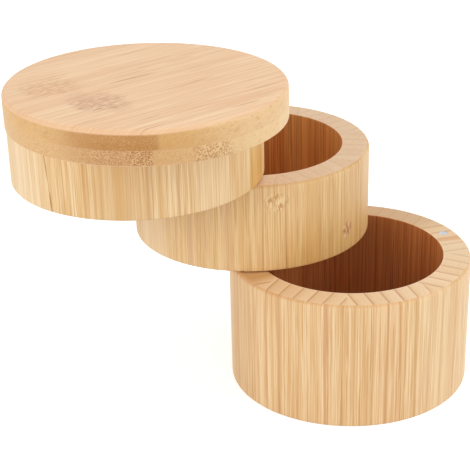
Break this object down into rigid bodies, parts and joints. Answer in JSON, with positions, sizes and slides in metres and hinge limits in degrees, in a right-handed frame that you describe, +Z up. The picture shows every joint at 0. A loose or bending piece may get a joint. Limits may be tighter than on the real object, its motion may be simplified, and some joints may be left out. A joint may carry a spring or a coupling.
{
  "type": "salt box",
  "caption": "Stack of round bamboo cups under a thick round lid, all swivelling about one upright pivot line through their walls; shown fanned open.",
  "frame": {"origin": "centre of the bottom cup's underside, on the surface it stands on", "axes": "+Z up along the bottom cup's axis; -X from the origin to the upright pivot line that all levels swing on; -Y is the side nearest the viewer in the picture"},
  "size_m": [0.1866, 0.1584, 0.1412],
  "materials": {
    "bamboo_bottom": "satin, pale caramel bamboo staves, upright fibre",
    "bamboo_middle": "satin, golden bamboo staves, upright fibre",
    "bamboo_top": "satin, pale golden bamboo staves, upright fibre",
    "bamboo_floor": "satin bamboo strip board",
    "bamboo_lid_upper": "satin peach bamboo board with long streaks",
    "bamboo_lid_lower": "satin bamboo board with coarse end grain",
    "magnet_nickel": "bright nickel plate",
    "washer_nylon": "matt off-white nylon",
    "insert_brass": "turned brass",
    "rod_steel": "zinc plated steel"
  },
  "bodies": {
    "bottom": {"bottom_block_1": "bamboo_bottom", "bottom_block_2": "bamboo_bottom", "bottom_block_3": "bamboo_bottom", "bottom_block_4": "bamboo_bottom", "bottom_block_5": "bamboo_bottom", "bottom_block_6": "bamboo_bottom", "bottom_block_7": "bamboo_bottom", "bottom_block_8": "bamboo_bottom", "bottom_floor": "bamboo_floor", "bottom_rim_magnet": "magnet_nickel", "bottom_washer": "washer_nylon"},
    "middle": {"middle_block_1": "bamboo_middle", "middle_block_2": "bamboo_middle", "middle_block_3": "bamboo_middle", "middle_block_4": "bamboo_middle", "middle_block_5": "bamboo_middle", "middle_block_6": "bamboo_middle", "middle_block_7": "bamboo_middle", "middle_block_8": "bamboo_middle", "middle_floor": "bamboo_floor", "middle_foot_magnet": "magnet_nickel", "middle_rim_magnet": "magnet_nickel", "middle_washer": "washer_nylon"},
    "top": {"top_block_1": "bamboo_top", "top_block_2": "bamboo_top", "top_block_3": "bamboo_top", "top_block_4": "bamboo_top", "top_block_5": "bamboo_top", "top_block_6": "bamboo_top", "top_block_7": "bamboo_top", "top_block_8": "bamboo_top", "top_floor": "bamboo_floor", "top_foot_magnet": "magnet_nickel", "top_rim_magnet": "magnet_nickel", "top_washer": "washer_nylon"},
    "lid": {"lid_lower_ply": "bamboo_lid_lower", "lid_upper_ply": "bamboo_lid_upper", "lid_magnet": "magnet_nickel", "lid_insert": "insert_brass", "pivot_rod": "rod_steel"}
  },
  "joints": [
    {"name": "middle_swing", "type": "hinge", "parent": "bottom", "child": "middle", "pos_m": [-0.04425, 0, 0], "axis": [0, 0, 1], "range_deg": [-70, 290]},
    {"name": "top_swing", "type": "hinge", "parent": "middle", "child": "top", "pos_m": [-0.04425, 0, 0], "axis": [0, 0, 1], "range_deg": [-77.5, 282.5]},
    {"name": "lid_swing", "type": "hinge", "parent": "top", "child": "lid", "pos_m": [-0.04425, 0, 0], "axis": [0, 0, 1], "range_deg": [-53.5, 306.5]}
  ]
}
